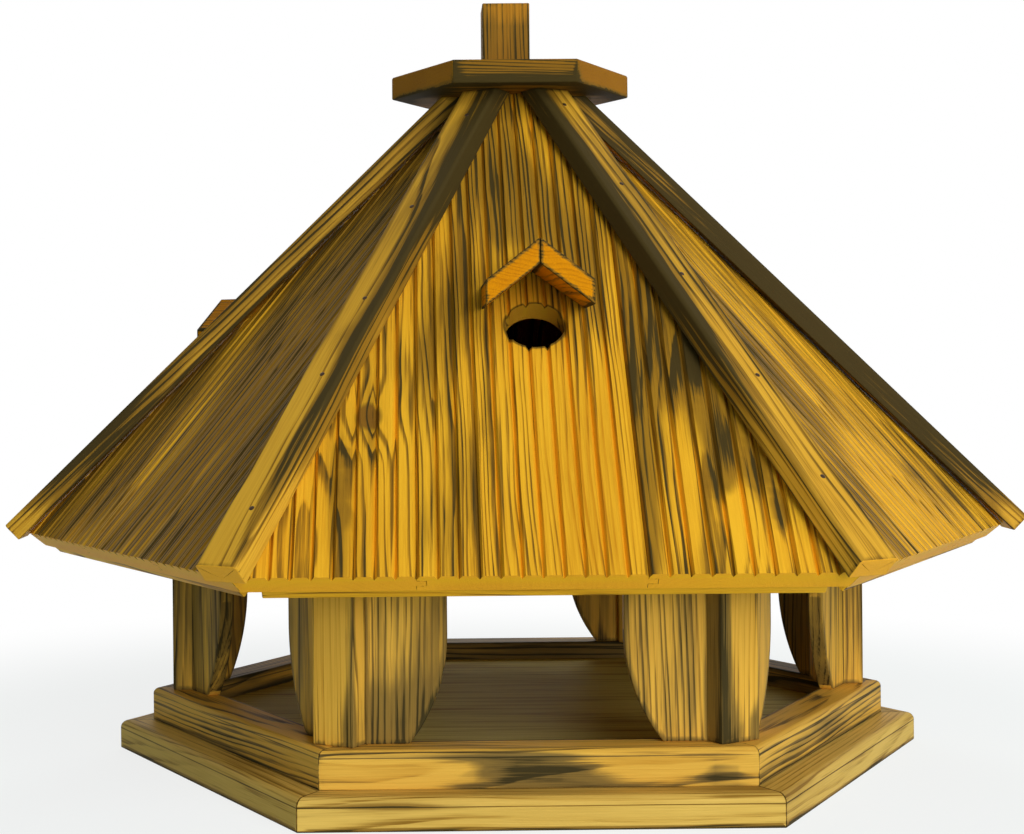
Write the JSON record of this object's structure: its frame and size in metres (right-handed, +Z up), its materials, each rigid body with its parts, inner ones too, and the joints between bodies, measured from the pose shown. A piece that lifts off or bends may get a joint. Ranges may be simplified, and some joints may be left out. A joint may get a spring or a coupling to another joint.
{
  "type": "bird feeder",
  "caption": "Hexagonal wooden bird feeder with an open tray on a stepped base, curved corner wings and a steep boarded roof with entrance holes under small canopies.",
  "frame": {"origin": "centre of the underside of the base", "axes": "+Z up, -Y out of the front side with its entrance hole, X along the line through two opposite corners"},
  "size_m": [0.6766, 0.5954, 0.4911],
  "materials": {
    "base_boards": "satin",
    "rim_boards": "satin",
    "floor_board": "satin",
    "ceiling_board": "satin",
    "posts_and_wings": "satin",
    "roof_boards": "satin",
    "cleats": "satin",
    "hip_battens": "satin",
    "canopy_boards": "satin",
    "cap_and_peg": "satin"
  },
  "bodies": {
    "root": {"base_board_back": "base_boards", "base_board_back_left": "base_boards", "base_board_back_right": "base_boards", "base_board_front": "base_boards", "base_board_front_left": "base_boards", "base_board_front_right": "base_boards", "canopy_back_left": "canopy_boards", "canopy_back_right": "canopy_boards", "canopy_front": "canopy_boards", "cap_peg": "cap_and_peg", "ceiling_board": "ceiling_board", "corner_post_back_left": "posts_and_wings", "corner_post_back_right": "posts_and_wings", "corner_post_front_left": "posts_and_wings", "corner_post_front_right": "posts_and_wings", "corner_post_left": "posts_and_wings", "corner_post_right": "posts_and_wings", "eave_cleats": "cleats", "hip_batten_back_left": "hip_battens", "hip_batten_back_right": "hip_battens", "hip_batten_front_left": "hip_battens", "hip_batten_front_right": "hip_battens", "hip_batten_left": "hip_battens", "hip_batten_right": "hip_battens", "post_wings_back_left": "posts_and_wings", "post_wings_back_right": "posts_and_wings", "post_wings_front_left": "posts_and_wings", "post_wings_front_right": "posts_and_wings", "post_wings_left": "posts_and_wings", "post_wings_right": "posts_and_wings", "rim_board_back": "rim_boards", "rim_board_back_left": "rim_boards", "rim_board_back_right": "rim_boards", "rim_board_front": "rim_boards", "rim_board_front_left": "rim_boards", "rim_board_front_right": "rim_boards", "roof_cap": "cap_and_peg", "roof_panel_back": "roof_boards", "roof_panel_back_left": "roof_boards", "roof_panel_back_right": "roof_boards", "roof_panel_front": "roof_boards", "roof_panel_front_left": "roof_boards", "roof_panel_front_right": "roof_boards", "tray_floor": "floor_board"}
  },
  "joints": []
}
